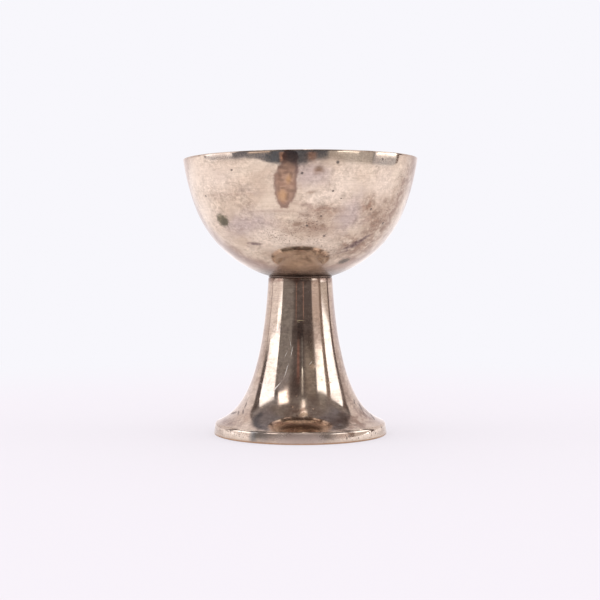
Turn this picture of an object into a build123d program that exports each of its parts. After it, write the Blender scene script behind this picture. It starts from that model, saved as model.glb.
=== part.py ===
from build123d import *
from math import asin, copysign, cos, pi, radians, sin, sqrt, tan
import os

# A small silver-plated communion chalice whose cup unscrews from its foot.
# Millimetres, +Z up, the origin on the table under the middle of the foot.

# Foot: a spun trumpet stem standing in an upright band
stem_height = 53.52  # table to the stem's top edge
stem_top_radius = 10.95  # outside, at the top edge
stem_wall = 0.8
stem_taper = 3.6  # degrees that the stem leans outwards below its top edge
taper_hold = 0.84  # how strongly that lean shapes the curve, 0 to 1
stem_edge_round = 0.28
stem_mouth_round = 0.12
flange_radius = 28.91  # outside edge of the trumpet's flange
flange_slope = 24.3  # degrees below level at that edge
flare_hold = 0.387  # how strongly that slope shapes the curve, 0 to 1
flange_proud = 0.14  # the flange stands this much above the band
flange_edge_round = 0.1

band_height = 3.82
band_shoulder_height = 3.1  # where the band's side starts to round over
band_shoulder_radius = 29.32
band_foot_radius = 29.69  # outside, near the table
band_wall = 1.8
band_foot_round = 0.35
band_inner_round = 0.2

# Cup: a deep spun bowl with a ring soldered under it
rim_diameter = 80.0  # outside
bowl_depth = 41.65  # outside, from the lowest point to the rim
bowl_floor_radius = 38.15  # outside radius of the round bottom
bowl_turn_height = 24.6  # above the lowest point, where the straighter side starts
bowl_wall = 0.9
lip_round = 0.25

ring_inset = 0.08  # how far the ring's edge stands in from the stem's
ring_edge_height = 0.46  # the ring's height at its outside edge
ring_round = 0.12
spigot_wall = 1.87
spigot_depth = 1.0  # the ring's spigot stands this far down inside the stem

# Screw joint inside the neck
boss_drop = 1.5  # the boss goes this far below the bowl
stud_radius = 4.0
stud_reach = 7.5  # length of stud below the boss
stud_root = 1.0  # length of stud inside the boss
stud_point = 0.8  # chamfer on the stud's end
washer_inset = 0.3  # how far the washer's edge stands in from the boss's
washer_thickness = 0.6
plate_thickness = 1.5
plate_hole_clearance = 0.3  # radial, stud in plate
nut_across_flats = 13.0
nut_height = 6.5
nut_chamfer = 0.5

# Fits
parting_gap = 0.08  # between the cup's ring and the stem's top edge
spigot_clearance = 0.08  # radial, spigot in stem
boss_clearance = 1.7  # radial, boss in spigot
thread_clearance = 0.06  # radial, stud in nut
washer_clearance = 0.08  # radial, washer on stud
face_gap = 0.02  # between flat faces that turn on each other
solder_gap = 0.02  # between curved faces that solder joins

# Radii that follow from the sizes above, from the stem's top inwards
ring_radius = stem_top_radius - ring_inset
spigot_radius = stem_top_radius - stem_wall - spigot_clearance
spigot_inner_radius = spigot_radius - spigot_wall
boss_radius = spigot_inner_radius - boss_clearance
washer_radius = boss_radius - washer_inset

# Heights that follow from the sizes above, from the table up
flange_height = band_height + flange_proud
parting_height = stem_height + parting_gap
ring_rise = sqrt((bowl_floor_radius + solder_gap) ** 2 - ring_radius**2)
bowl_centre_height = parting_height + ring_edge_height + ring_rise
bowl_floor_height = bowl_centre_height - bowl_floor_radius
rim_height = bowl_floor_height + bowl_depth
boss_height = bowl_floor_height - boss_drop
washer_height = boss_height - face_gap - washer_thickness
plate_height = washer_height - face_gap - plate_thickness
nut_foot_height = plate_height - nut_height


def disc(radius, low, high, hole_radius=0):
    """A disc or a ring about the Z axis, between two heights."""
    outline = Circle(radius)
    if hole_radius:
        outline -= Circle(hole_radius)
    return Pos(0, 0, low) * extrude(outline, high - low)


def turned(*edges):
    """The solid that a closed outline in the XZ plane makes about the Z axis."""
    return revolve(make_face(Wire(edges)), Axis.Z)


def circles_at(solid, height):
    """The circular edges of a solid at one height, from the smallest to the largest."""
    level = solid.edges().filter_by(GeomType.CIRCLE).filter_by_position(
        Axis.Z, height - face_gap / 2, height + face_gap / 2
    )
    return level.sort_by(SortBy.RADIUS)


def bowl_outline(inset):
    """The bowl's outside line, or one parallel to it: the round bottom, then the side."""
    turn_angle = asin(1 - bowl_turn_height / bowl_floor_radius)
    turn_normal = Vector(cos(turn_angle), 0, -sin(turn_angle))
    centre = Vector(0, 0, bowl_centre_height)

    def on_bottom(angle):
        outwards = Vector(cos(angle), 0, -sin(angle))
        return centre + outwards * (bowl_floor_radius - inset)

    turn = on_bottom(turn_angle)
    bottom = ThreePointArc(on_bottom(pi / 2), on_bottom((pi / 2 + turn_angle) / 2), turn)

    # The side's arc leaves the round bottom smoothly and ends at the rim
    to_rim = Vector(rim_diameter / 2, 0, rim_height) - centre - turn_normal * bowl_floor_radius
    side_radius = -to_rim.dot(to_rim) / (2 * to_rim.dot(turn_normal))
    side_centre = centre + turn_normal * (bowl_floor_radius - side_radius)

    def on_side(height):
        radius = side_radius - inset
        reach = copysign(sqrt(radius**2 - (height - side_centre.Z) ** 2), radius)
        return Vector(side_centre.X + reach, 0, height)

    side = ThreePointArc(turn, on_side((turn.Z + rim_height) / 2), on_side(rim_height))
    return bottom, side


def cup():
    """The bowl: a thin shell with a flat lip between two small rounds."""
    outer_bottom, outer_side = bowl_outline(0)
    inner_bottom, inner_side = bowl_outline(bowl_wall)
    lip = Line(outer_side @ 1, inner_side @ 1)
    axis_line = Line(inner_bottom @ 0, outer_bottom @ 0)
    shell = turned(outer_bottom, outer_side, lip, inner_side, inner_bottom, axis_line)
    return fillet(circles_at(shell, rim_height), lip_round)


def bowl_ball():
    """The ball that what is soldered under the bowl is hollowed by."""
    return Pos(0, 0, bowl_centre_height) * Sphere(bowl_floor_radius + solder_gap)


def neck_ring():
    """The ring under the bowl, with the spigot that centres it in the stem."""
    collar = disc(ring_radius, parting_height, bowl_centre_height, spigot_inner_radius)
    spigot = disc(
        spigot_radius, parting_height - spigot_depth, parting_height, spigot_inner_radius
    )
    ring = collar + spigot - bowl_ball()
    return fillet(circles_at(ring, parting_height)[-1], ring_round)


def cup_boss():
    """The boss under the bowl, with a blind hole for the stud's root."""
    boss = disc(boss_radius, boss_height, bowl_centre_height) - bowl_ball()
    return boss - disc(stud_radius + solder_gap, boss_height, boss_height + stud_root)


def cup_stud():
    """The stud that screws the cup into the foot."""
    stud = disc(stud_radius, boss_height - stud_reach, boss_height + stud_root)
    return chamfer(circles_at(stud, boss_height - stud_reach), stud_point)


def neck_washer():
    """The washer that the cup is tightened on."""
    low = washer_height
    return disc(washer_radius, low, low + washer_thickness, stud_radius + washer_clearance)


def stem_outline(inset):
    """The trumpet's outside line, or one parallel to it, from its top to its flange."""
    taper = radians(stem_taper)
    slope = radians(flange_slope)
    top = Vector(stem_top_radius - inset / cos(taper), 0, stem_height)
    edge = Vector(flange_radius, 0, flange_height - inset / cos(slope))
    leaving = Vector(sin(taper), 0, -cos(taper)) * taper_hold * (top.Z - edge.Z)
    arriving = Vector(cos(slope), 0, -sin(slope)) * flare_hold * (edge.X - top.X)
    return Bezier(top, top + leaving, edge - arriving, edge)


def stem():
    """The trumpet stem, open at both ends."""
    outside = stem_outline(0)
    inside = stem_outline(stem_wall)
    top_edge = Line(outside @ 0, inside @ 0)
    flange_edge = Line(outside @ 1, inside @ 1)
    shell = turned(outside, flange_edge, inside, top_edge)
    shell = fillet(circles_at(shell, stem_height)[-1], stem_edge_round)
    shell = fillet(circles_at(shell, stem_height)[0], stem_mouth_round)
    return fillet(circles_at(shell, flange_height), flange_edge_round)


def neck_plate():
    """The plate soldered across the stem's neck, its edge following the stem's inside."""
    inside = stem_outline(stem_wall + solder_gap)
    low_end = Vector(0, 0, (inside @ 1).Z)
    high_end = Vector(0, 0, stem_height)
    bore = turned(
        inside, Line(inside @ 1, low_end), Line(low_end, high_end), Line(high_end, inside @ 0)
    )
    hole_radius = stud_radius + plate_hole_clearance
    return bore & disc(flange_radius, plate_height, plate_height + plate_thickness, hole_radius)


def neck_nut():
    """The hexagon nut brazed under the plate."""
    hexagon = RegularPolygon(nut_across_flats / 2, 6, major_radius=False)
    nut = Pos(0, 0, nut_foot_height) * extrude(hexagon, nut_height)
    corner_radius = nut_across_flats / sqrt(3)
    blank = disc(corner_radius, nut_foot_height, plate_height)
    blank = chamfer(circles_at(blank, nut_foot_height), nut_chamfer)
    hole_radius = stud_radius + thread_clearance
    return (nut & blank) - disc(hole_radius, nut_foot_height, plate_height)


def foot_band():
    """The upright band under the flange, with a sloping seat for the flange inside its lip."""
    inner_radius = band_foot_radius - band_wall
    lip_radius = flange_radius + solder_gap
    seat_low = flange_height - stem_wall / cos(radians(flange_slope)) - solder_gap
    seat_rise = (lip_radius - inner_radius) * tan(radians(flange_slope))
    foot = Vector(band_foot_radius, 0, 0)
    shoulder = Vector(band_shoulder_radius, 0, band_shoulder_height)
    lip = Vector(lip_radius, 0, band_height)
    seat_outer = Vector(lip_radius, 0, seat_low)
    seat_inner = Vector(inner_radius, 0, seat_low + seat_rise)
    inner_foot = Vector(inner_radius, 0, 0)
    band = turned(
        Line(foot, shoulder),
        TangentArc(shoulder, lip, tangent=shoulder - foot),
        Line(lip, seat_outer),
        Line(seat_outer, seat_inner),
        Line(seat_inner, inner_foot),
        Line(inner_foot, foot),
    )
    band = fillet(circles_at(band, 0)[-1], band_foot_round)
    return fillet(circles_at(band, 0)[0], band_inner_round)


pieces = {
    "cup": cup,
    "neck_ring": neck_ring,
    "cup_boss": cup_boss,
    "cup_stud": cup_stud,
    "neck_washer": neck_washer,
    "stem": stem,
    "neck_plate": neck_plate,
    "neck_nut": neck_nut,
    "foot_band": foot_band,
}

os.makedirs("parts", exist_ok=True)
for name, make in pieces.items():
    export_step(make(), f"parts/{name}.step")

print("rim height", round(rim_height, 3))
print("nut thread held", round(plate_height - (boss_height - stud_reach), 3))
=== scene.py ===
from math import asin, atan2, cos, radians, sin, sqrt, tan, tau

import bmesh
import bpy
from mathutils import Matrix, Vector, noise
from mathutils.geometry import interpolate_bezier


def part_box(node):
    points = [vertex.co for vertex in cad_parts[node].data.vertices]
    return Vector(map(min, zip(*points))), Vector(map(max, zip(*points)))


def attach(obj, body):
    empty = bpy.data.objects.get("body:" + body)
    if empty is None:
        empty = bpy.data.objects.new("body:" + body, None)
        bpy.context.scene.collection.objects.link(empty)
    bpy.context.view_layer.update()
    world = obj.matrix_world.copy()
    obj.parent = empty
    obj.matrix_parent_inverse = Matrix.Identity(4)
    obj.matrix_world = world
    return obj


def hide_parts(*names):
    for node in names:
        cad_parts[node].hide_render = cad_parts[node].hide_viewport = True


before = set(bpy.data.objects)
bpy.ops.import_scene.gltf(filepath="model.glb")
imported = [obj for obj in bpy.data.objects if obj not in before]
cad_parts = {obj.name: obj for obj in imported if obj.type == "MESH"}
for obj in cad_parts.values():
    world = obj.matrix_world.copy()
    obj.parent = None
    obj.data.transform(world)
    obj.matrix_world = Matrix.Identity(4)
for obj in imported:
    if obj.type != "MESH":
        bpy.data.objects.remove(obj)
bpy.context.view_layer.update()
mm = 0.001


# Node helpers, each giving back the socket that the next node takes

def addNode(tree, kind, inputs=None, **settings):
    made = tree.nodes.new(kind)
    for name, value in settings.items():
        setattr(made, name, value)
    for socket, value in (inputs or {}).items():
        if isinstance(value, bpy.types.NodeSocket):
            tree.links.new(value, made.inputs[socket])
        else:
            made.inputs[socket].default_value = value
    return made


def calc(tree, operation, *values):
    return addNode(tree, "ShaderNodeMath", dict(enumerate(values)), operation=operation).outputs[0]


def times(tree, *values):
    found = values[0]
    for value in values[1:]:
        found = calc(tree, "MULTIPLY", found, value)
    return found


def remap(tree, value, low, high, first=0.0, last=1.0):
    sockets = {"Value": value, "From Min": low, "From Max": high, "To Min": first, "To Max": last}
    made = addNode(tree, "ShaderNodeMapRange", sockets, interpolation_type="SMOOTHSTEP")
    return made.outputs["Result"]


def mixColour(tree, share, first, second, mode="MIX"):
    made = addNode(tree, "ShaderNodeMix", data_type="RGBA", blend_type=mode, clamp_factor=True)
    for index, value in ((0, share), (6, first), (7, second)):
        if isinstance(value, bpy.types.NodeSocket):
            tree.links.new(value, made.inputs[index])
        else:
            made.inputs[index].default_value = value if index == 0 else (*value, 1)
    return made.outputs[2]


def mixValue(tree, share, first, second):
    made = addNode(tree, "ShaderNodeMix", {0: share, 2: first, 3: second}, clamp_factor=True)
    return made.outputs[0]


def clouds(tree, points, size, detail=3.0, rough=0.5, stretch=(1, 1, 1), shift=0.0, warp=0.0):
    # Noise with features about this many millimetres across
    placed = addNode(tree, "ShaderNodeMapping",
                     {"Vector": points, "Location": (shift, shift, shift), "Scale": stretch})
    sockets = {"Vector": placed.outputs[0], "Scale": 1 / size, "Detail": detail,
               "Roughness": rough, "Distortion": warp}
    return addNode(tree, "ShaderNodeTexNoise", sockets).outputs["Fac"]


def waver(tree, points, size, detail, rough, amount, shift=0.0):
    # Noise about zero, which makes the edge of a mark wander
    wave = clouds(tree, points, size, detail, rough, shift=shift)
    return times(tree, calc(tree, "SUBTRACT", wave, 0.5), amount)


def angleRound(tree, x, y):
    # Degrees from the front, positive to the right
    return calc(tree, "DEGREES", calc(tree, "ARCTAN2", x, times(tree, y, -1.0)))


def surfacePlace(tree):
    # Where a point is, in millimetres, and its angle round the piece from the front, in degrees
    coords = addNode(tree, "ShaderNodeTexCoord").outputs["Object"]
    points = addNode(tree, "ShaderNodeVectorMath", {0: coords, 1: (1000, 1000, 1000)},
                     operation="MULTIPLY").outputs[0]
    x, y, z = addNode(tree, "ShaderNodeSeparateXYZ", {0: points}).outputs
    radius = calc(tree, "SQRT", calc(tree, "ADD", times(tree, x, x), times(tree, y, y)))
    return {"points": points, "z": z, "angle": angleRound(tree, x, y), "radius": radius}


def ovalMark(tree, place, edge, mark, soft):
    # mark: angle, height, half its width and half its height, then its lean in degrees if it has one
    angle, height, halfWidth, halfHeight = mark[:4]
    turned = calc(tree, "RADIANS", calc(tree, "SUBTRACT", place["angle"], angle))
    across = times(tree, turned, place["radius"])
    up = calc(tree, "SUBTRACT", place["z"], height)
    if len(mark) > 4:
        c, s = cos(radians(mark[4])), sin(radians(mark[4]))
        across, up = (calc(tree, "ADD", times(tree, across, c), times(tree, up, -s)),
                      calc(tree, "ADD", times(tree, across, s), times(tree, up, c)))
    wide = calc(tree, "POWER", calc(tree, "DIVIDE", across, halfWidth), 2.0)
    tall = calc(tree, "POWER", calc(tree, "DIVIDE", up, halfHeight), 2.0)
    reach = calc(tree, "ADD", calc(tree, "SQRT", calc(tree, "ADD", wide, tall)), edge)
    return remap(tree, reach, 1 - soft, 1 + soft, 1.0, 0.0)


def allMarks(tree, place, edge, marks, soft):
    found = ovalMark(tree, place, edge, marks[0], soft)
    for mark in marks[1:]:
        found = calc(tree, "MAXIMUM", found, ovalMark(tree, place, edge, mark, soft))
    return found


def liftedBy(tree, share, place, edge, marks, soft, strength):
    # A share that rises to strength inside each mark
    for mark in marks:
        share = calc(tree, "MAXIMUM", share, times(tree, ovalMark(tree, place, edge, mark, soft), strength))
    return share


def newMaterial(name):
    material = bpy.data.materials.new(name)
    material.use_nodes = True
    tree = material.node_tree
    return material, tree, tree.nodes["Principled BSDF"]


def joinShader(tree, shader, colour, rough, metal, height, depth):
    # depth is how deep the height's full range is, in millimetres
    for name, value in (("Base Color", colour), ("Roughness", rough), ("Metallic", metal)):
        if isinstance(value, bpy.types.NodeSocket):
            tree.links.new(value, shader.inputs[name])
        else:
            shader.inputs[name].default_value = value
    bump = addNode(tree, "ShaderNodeBump", {"Strength": 1.0, "Distance": depth * mm, "Height": height})
    tree.links.new(bump.outputs[0], shader.inputs["Normal"])


# The room that the silver mirrors: directions in degrees, from the front towards the right, and up

room = {
    "edge": 3, "ceilingEdge": 4, "underneathEdge": 8,  # half the softness of the borders between the areas
    "gain": 1.4,  # how bright the whole room is beside what the camera sees behind the chalice
    "wall": (0.125, 0.106, 0.108), "wallLow": (0.115, 0.132, 0.168),
    "wallLowFrom": 3, "wallLowTo": -6,
    "backdrop": (0.76, 0.70, 0.72), "backdropFrom": 116, "backdropTop": 51,
    "ceilingReach": 29,  # above this elevation the dark ceiling reaches further round the sides
    "ceiling": (0.270, 0.248, 0.250), "ceilingSide": (0.225, 0.215, 0.248), "ceilingFrom": 45,
    "sideFrom": 62, "sideTo": 96,
    "lampOverhead": (1.3, 1.25, 1.2), "lampOverheadFrom": 79,
    "underneath": (0.42, 0.40, 0.385), "underneathFrom": -34,
    "toCamera": (0.938, 0.929, 0.973), "toFloor": (1.40, 1.38, 1.41),  # what the camera sees, what lights
}
# name, azimuth from and to, elevation from and to, edge softness in degrees, tilt, colour
roomPatches = [
    ("leftWall", -66, -22, -4, 34, 7.0, 0, (0.25, 0.235, 0.24)),
    ("rightWall", 13, 40, 17, 46, 6.0, 0, (0.29, 0.255, 0.235)),
    ("leftSill", -114, -64, -4, 9, 1.0, 0, (0.90, 0.85, 0.88)),
    ("leftWindow", -103, -66, 9.2, 41.5, 0.7, 0.06, (1.75, 1.80, 1.95)),
    ("leftWindowTip", -80, -65.5, 6.6, 9.4, 0.6, -0.06, (1.75, 1.80, 1.95)),
    ("leftHighPanelGlow", -57, -30, 26, 36, 1.5, 0, (0.34, 0.33, 0.36)),
    ("leftHighPanel", -56, -31, 37, 51, 0.8, 0, (2.6, 2.5, 2.5)),
    ("rightPanelLow", 40, 75, -4, 12, 2.5, 0, (0.61, 0.52, 0.50)),
    ("rightPanel", 43, 67, 13, 37, 2.4, 0, (1.9, 1.9, 1.98)),
    ("rightPanelTop", 46, 64, 37, 56, 5.0, 0, (0.36, 0.34, 0.33)),
    ("rightFrame", 67, 77, -4, 40, 2.6, 0, (0.26, 0.20, 0.18)),
    ("rightSill", 76, 111, -3, 7, 1.0, 0, (0.56, 0.50, 0.48)),
    ("rightWindow", 77, 106, 6.5, 38, 0.7, 0, (1.75, 1.80, 1.95)),
    ("rightEdge", 108, 115, 0, 50, 1.5, 0, (0.16, 0.12, 0.12)),
    ("ceilingGlowLeft", -124, -56, 40, 46, 4.0, 0, (0.34, 0.33, 0.36)),
    ("ceilingGlowRight", 60, 124, 39, 45, 4.0, 0, (0.31, 0.285, 0.29)),
    ("ceilingDarkLeft", -160, -104, 47.5, 54, 2.5, 0, (0.128, 0.130, 0.160)),
    ("ceilingDarkRight", 104, 160, 47, 54, 2.5, 0, (0.145, 0.128, 0.135)),
    ("centreDark", -26, 33, 11.8, 16, 2.0, 0, (0.095, 0.080, 0.083)),
    ("centreDarkest", -9, 10, 11.9, 15.5, 1.0, 0, (0.040, 0.032, 0.034)),
    ("slitFaint", 4.2, 6.4, 15, 26, 0.6, 0, (0.25, 0.25, 0.25)),
    ("slit", 4.2, 6.6, 25, 43, 0.7, 0, (1.5, 1.5, 1.45)),
    ("slitHigh", 4.4, 12.6, 50, 77, 0.9, 0, (2.7, 2.7, 2.65)),
    ("slitHighest", 8, 20, 65, 78, 1.4, 0, (2.7, 2.7, 2.65)),
    ("redStrip", -9, -2.5, 16, 34, 1.2, 0, (0.24, 0.14, 0.125)),
    ("pinkLineLeft", -14.6, -13, -3, 11, 0.6, 0, (0.42, 0.25, 0.21)),
    ("pinkLineRight", 9.3, 10.9, -3, 11, 0.6, 0, (0.44, 0.27, 0.23)),
    ("lowLeftGrey", -106, -34, -16, -2, 2.0, 0, (0.205, 0.215, 0.262)),
    ("lowLeftPale", -104, -69, -7.5, -1.0, 0.4, -0.123, (1.5, 1.52, 1.65)),
    ("lowLeftCream", -51, -29, -10.4, -5.0, 0.5, -0.03, (1.05, 0.88, 0.78)),
    ("lowRightBeige", 27, 75, -15, -2, 1.2, 0.05, (0.52, 0.50, 0.49)),
    ("lowRightBright", 36, 58, -9.9, -4, 0.5, 0.03, (1.9, 1.85, 1.8)),
    ("lowRightGrey", 76, 107.5, -14, -2, 0.8, 0.09, (0.50, 0.51, 0.56)),
    ("lowRightWhite", 78, 106.5, -6.75, 0, 0.3, 0.113, (2.6, 2.65, 2.8)),
    ("lowRightFrame", 107.5, 116.5, -9, -1, 0.8, 0.05, (0.14, 0.095, 0.085)),
    ("pinkLowLeft", -19.8, -14.4, -17, -11.3, 1.1, 0, (0.36, 0.225, 0.185)),
    ("pinkLowRight", 7.4, 15.2, -16.2, -12.0, 1.3, 0, (0.36, 0.225, 0.185)),
]


def above(tree, value, border, soft):
    return remap(tree, value, border - soft, border + soft)


def patchMask(tree, azimuth, elevation, patch):
    left, right, low, high, soft, tilt = patch[1:7]
    sideways = calc(tree, "SUBTRACT", azimuth, (left + right) / 2)
    upwards = calc(tree, "SUBTRACT", elevation, (low + high) / 2)
    if tilt:
        upwards = calc(tree, "SUBTRACT", upwards, times(tree, sideways, tilt))
    halfWidth, halfHeight = (right - left) / 2, (high - low) / 2
    within = remap(tree, calc(tree, "ABSOLUTE", sideways), halfWidth - soft, halfWidth + soft, 1.0, 0.0)
    level = remap(tree, calc(tree, "ABSOLUTE", upwards), halfHeight - soft, halfHeight + soft, 1.0, 0.0)
    return times(tree, within, level)


def makeRoom():
    world = bpy.data.worlds.new("studioRoom")
    bpy.context.scene.world = world
    world.use_nodes = True
    world.cycles.sampling_method = "NONE"
    tree = world.node_tree
    tree.nodes.clear()
    direction = addNode(tree, "ShaderNodeTexCoord").outputs["Generated"]
    x, y, z = addNode(tree, "ShaderNodeSeparateXYZ", {0: direction}).outputs
    azimuth = angleRound(tree, x, y)
    elevation = calc(tree, "DEGREES", calc(tree, "ARCSINE", z))
    further = calc(tree, "MAXIMUM", calc(tree, "SUBTRACT", elevation, room["ceilingReach"]), 0)
    roundFrom = calc(tree, "SUBTRACT", calc(tree, "ABSOLUTE", azimuth), further)
    behind = above(tree, roundFrom, room["backdropFrom"], room["edge"])
    highBehind = above(tree, elevation, room["backdropTop"], room["edge"])
    lowFront = remap(tree, elevation, room["wallLowTo"], room["wallLowFrom"], 1.0, 0.0)
    seen = mixColour(tree, lowFront, room["wall"], room["wallLow"])
    seen = mixColour(tree, behind, seen, room["backdrop"])
    front = calc(tree, "SUBTRACT", 1.0, behind)
    highFront = above(tree, elevation, room["ceilingFrom"], room["ceilingEdge"])
    ceilingHere = calc(tree, "ADD", times(tree, behind, highBehind), times(tree, front, highFront))
    toSide = remap(tree, calc(tree, "ABSOLUTE", azimuth), room["sideFrom"], room["sideTo"])
    ceiling = mixColour(tree, toSide, room["ceiling"], room["ceilingSide"])
    seen = mixColour(tree, ceilingHere, seen, ceiling)
    for patch in roomPatches:
        seen = mixColour(tree, patchMask(tree, azimuth, elevation, patch), seen, patch[-1])
    overhead = above(tree, elevation, room["lampOverheadFrom"], room["edge"])
    seen = mixColour(tree, overhead, seen, room["lampOverhead"])
    overFloor = above(tree, elevation, room["underneathFrom"], room["underneathEdge"])
    seen = mixColour(tree, overFloor, room["underneath"], seen)
    path = addNode(tree, "ShaderNodeLightPath").outputs
    lit = mixColour(tree, 1.0, seen, (room["gain"],) * 3, "MULTIPLY")
    sent = mixColour(tree, path["Is Glossy Ray"], room["toFloor"], lit)
    sent = mixColour(tree, path["Is Camera Ray"], sent, room["toCamera"])
    light = addNode(tree, "ShaderNodeBackground", {"Color": sent, "Strength": 1.0})
    out = addNode(tree, "ShaderNodeOutputWorld")
    tree.links.new(light.outputs[0], out.inputs[0])


makeRoom()
print("room made:", len(roomPatches), "patches")


# The floor, and the table's outline that the silver mirrors, which ends where the room starts

floorLook = {
    "size": 6.0, "sink": 0.0001,
    "colour": (0.625, 0.597, 0.632),
    "glow": (0.940, 0.900, 0.950), "glowShare": 0.62,
    "fadeCentre": (0, -0.1, 0), "fadeFrom": 0.20, "fadeTo": 0.42,  # where it turns into the backdrop
    "tableColour": (0.90, 0.875, 0.88), "hollowRadius": 0.0274,
}
tableFrontEdge = [(-3.0, 0.9), (-0.97, 0.26), (-0.70, 0.03), (-0.50, -0.165), (-0.36, -0.285),
                  (-0.27, -0.315), (-0.20, -0.303), (-0.14, -0.300), (-0.05, -0.300), (0.02, -0.305),
                  (0.06, -0.330), (0.11, -0.342), (0.18, -0.335), (0.25, -0.28), (0.345, -0.22),
                  (0.42, -0.13), (0.50, -0.02), (0.60, 0.10), (0.80, 0.27), (3.0, 1.2)]


def flatSheet(name, corners, height):
    bm = bmesh.new()
    bm.faces.new([bm.verts.new((x, y, height)) for x, y in corners])
    bmesh.ops.recalc_face_normals(bm, faces=bm.faces)
    if bm.faces[:][0].normal.z < 0:
        bmesh.ops.reverse_faces(bm, faces=bm.faces)
    mesh = bpy.data.meshes.new(name)
    bm.to_mesh(mesh)
    bm.free()
    sheet = bpy.data.objects.new(name, mesh)
    bpy.context.scene.collection.objects.link(sheet)
    return sheet


def paleMaterial(name, colour, glow, glowShare, fades):
    # Clear from underneath and under the foot's hollow, so that light gets in there from below
    material = bpy.data.materials.new(name)
    material.use_nodes = True
    tree = material.node_tree
    tree.nodes.clear()
    flat = addNode(tree, "ShaderNodeBsdfDiffuse", {"Color": (*colour, 1)})
    lit = addNode(tree, "ShaderNodeEmission", {"Color": (*glow, 1), "Strength": 1.0})
    mixed = addNode(tree, "ShaderNodeMixShader", {0: glowShare, 1: flat.outputs[0], 2: lit.outputs[0]})
    coords = addNode(tree, "ShaderNodeTexCoord").outputs["Object"]
    if fades:
        away = addNode(tree, "ShaderNodeVectorMath", {0: coords, 1: floorLook["fadeCentre"]},
                       operation="DISTANCE")
        fade = remap(tree, away.outputs["Value"], floorLook["fadeFrom"], floorLook["fadeTo"])
        far = addNode(tree, "ShaderNodeEmission", {"Color": (*room["toCamera"], 1), "Strength": 1.0})
        mixed = addNode(tree, "ShaderNodeMixShader", {0: fade, 1: mixed.outputs[0], 2: far.outputs[0]})
    fromAxis = addNode(tree, "ShaderNodeVectorMath", {0: coords}, operation="LENGTH").outputs["Value"]
    hollow = calc(tree, "LESS_THAN", fromAxis, floorLook["hollowRadius"])
    under = calc(tree, "MAXIMUM", addNode(tree, "ShaderNodeNewGeometry").outputs["Backfacing"], hollow)
    clear = addNode(tree, "ShaderNodeBsdfTransparent")
    oneSided = addNode(tree, "ShaderNodeMixShader", {0: under, 1: mixed.outputs[0], 2: clear.outputs[0]})
    out = addNode(tree, "ShaderNodeOutputMaterial")
    tree.links.new(oneSided.outputs[0], out.inputs["Surface"])
    return material


def makeFloor():
    half = floorLook["size"] / 2
    square = [(-half, -half), (half, -half), (half, half), (-half, half)]
    floor = flatSheet("floor", square, -floorLook["sink"])
    floor.data.materials.append(
        paleMaterial("paleFloor", floorLook["colour"], floorLook["glow"], floorLook["glowShare"], True))
    floor.visible_glossy = False
    table = flatSheet("tableInSilver", [(-half, half), *tableFrontEdge, (half, half)], -floorLook["sink"] / 2)
    table.data.materials.append(paleMaterial("whiteTable", floorLook["tableColour"], (1, 1, 1), 0.0, False))
    table.visible_camera = table.visible_diffuse = table.visible_shadow = False


lamps = {
    "leftSoft": {"place": (-1.9, -0.1, 0.85), "size": (1.4, 1.2), "watts": 9.5, "colour": (1.0, 0.99, 0.98)},
    "rightSoft": {"place": (1.9, -0.1, 0.80), "size": (1.2, 1.1), "watts": 7.5, "colour": (1.0, 0.98, 0.97)},
}
lampAim = (0, 0, 0.05)
cameraSet = {
    "place": (-0.00012, -0.42803, 0.05926), "upFromDown": 88.193,  # degrees; 90 would be level
    "lens": 74.67, "sensor": 36,
}


def makeLamp(name, look):
    data = bpy.data.lights.new(name, "AREA")
    data.shape, data.size, data.size_y = "RECTANGLE", *look["size"]
    data.energy, data.color = look["watts"], look["colour"]
    lamp = bpy.data.objects.new(name, data)
    bpy.context.scene.collection.objects.link(lamp)
    lamp.location = look["place"]
    lamp.rotation_euler = (Vector(lampAim) - Vector(look["place"])).to_track_quat("-Z", "Y").to_euler()
    lamp.visible_glossy = lamp.visible_camera = False  # the room's own windows stand in the silver


def makeCamera():
    data = bpy.data.cameras.new("camera")
    data.lens, data.sensor_width = cameraSet["lens"], cameraSet["sensor"]
    data.clip_start, data.clip_end = 0.01, 20
    camera = bpy.data.objects.new("camera", data)
    bpy.context.scene.collection.objects.link(camera)
    camera.location = cameraSet["place"]
    camera.rotation_euler = (radians(cameraSet["upFromDown"]), 0, 0)
    bpy.context.scene.camera = camera


makeFloor()
for lampName, lampLook in lamps.items():
    makeLamp(lampName, lampLook)
makeCamera()
bpy.context.scene.view_settings.view_transform = "Standard"
print("floor, lamps and camera placed")


# Turned shapes: a line drawn at y = 0, one vertex after another, then spun about the Z axis

def lineTo(bm, last, x, z):
    new = bm.verts.new((x, 0, z))
    bm.edges.new((last, new))
    return new


def arcTo(bm, last, inward, x, z, steps):
    # An arc that leaves the last vertex square to inward, which points to its centre
    across = Vector((x, 0, z)) - last.co
    reach = across.length_squared / (2 * across.dot(inward))
    centre = last.co + inward * reach
    start, end = last.co - centre, Vector((x, 0, z)) - centre
    angle = atan2(start.z * end.x - start.x * end.z, start.x * end.x + start.z * end.z)
    spun = bmesh.ops.spin(bm, geom=[last], cent=centre, axis=(0, 1, 0), angle=angle, steps=steps)
    return spun["geom_last"][0]


def roundCorner(bm, corner, size, segments=4):
    bmesh.ops.bevel(bm, geom=[corner], offset=size, offset_type="OFFSET", segments=segments,
                    profile=0.5, affect="VERTICES", material=-1)


def spinRound(bm, steps):
    geometry = bm.verts[:] + bm.edges[:]
    bmesh.ops.spin(bm, geom=geometry, cent=(0, 0, 0), axis=(0, 0, 1), angle=tau, steps=steps,
                   use_merge=True)
    bmesh.ops.remove_doubles(bm, verts=bm.verts, dist=0.002 * mm)
    bmesh.ops.recalc_face_normals(bm, faces=bm.faces)


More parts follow.
